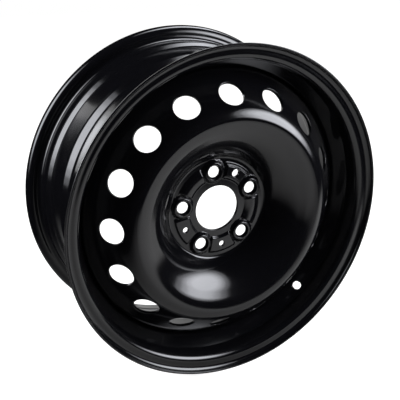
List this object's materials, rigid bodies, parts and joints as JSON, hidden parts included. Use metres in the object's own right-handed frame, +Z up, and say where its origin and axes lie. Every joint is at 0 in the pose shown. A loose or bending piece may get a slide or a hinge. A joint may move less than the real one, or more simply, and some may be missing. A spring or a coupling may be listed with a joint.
{
  "type": "steel wheel rim",
  "caption": "Black pressed steel car wheel: roll-formed drop-centre rim, welded-in domed disc with round vent holes, cone-seat bolt holes and a centre bore.",
  "frame": {"origin": "centre of the wheel on its hub face, the plane that bolts against the hub", "axes": "+Y along the wheel's axis towards the car, -Y out of the wheel's outer face, +Z up"},
  "size_m": [0.4148, 0.1714, 0.4146],
  "materials": {
    "black_paint": "gloss",
    "painted_weld": "gloss"
  },
  "bodies": {
    "root": {"rim": "black_paint", "disc": "black_paint", "weld_seams": "painted_weld"}
  },
  "joints": []
}
